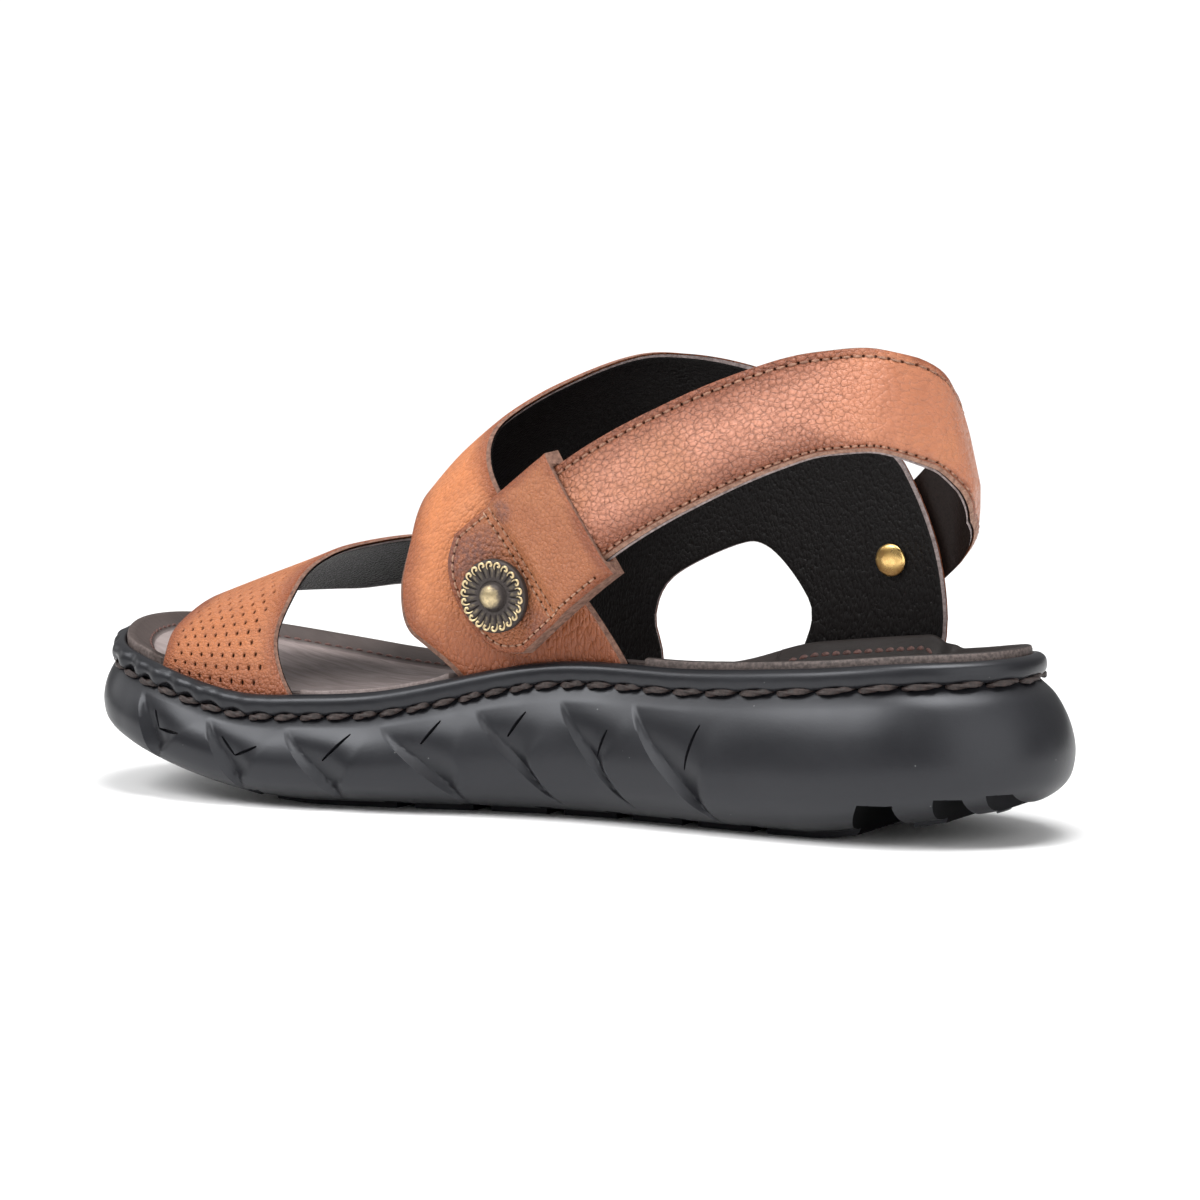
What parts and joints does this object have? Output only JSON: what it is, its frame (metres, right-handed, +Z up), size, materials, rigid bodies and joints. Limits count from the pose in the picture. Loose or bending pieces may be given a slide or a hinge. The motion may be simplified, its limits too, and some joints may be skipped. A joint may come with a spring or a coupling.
{
  "type": "leather sandal",
  "caption": "Right leather sandal with a moulded ribbed sole, a one-piece strap upper, and a sling strap held by a sleeve and ornamental studs.",
  "frame": {"origin": "on the floor, under the middle of the sole's outline", "axes": "+X from heel to toe, +Y to the medial side (the wearer's left), +Z up"},
  "size_m": [0.2902, 0.1044, 0.1323],
  "materials": {
    "outsole": "matte charcoal rubber",
    "welt": "satin black rubber",
    "insole": "dark taupe-brown leather",
    "upper": "tan leather with a black lining",
    "strap": "tan leather with a dark brown lining",
    "sleeve": "tan leather",
    "stud": "antique brass",
    "rivet": "polished brass"
  },
  "bodies": {
    "root": {"outsole": "outsole", "welt": "welt", "insole": "insole", "upper": "upper", "sling_strap": "strap", "sleeve": "sleeve", "stud_medial": "stud", "stud_lateral": "stud", "rivet_medial": "rivet", "rivet_lateral": "rivet"}
  },
  "joints": []
}
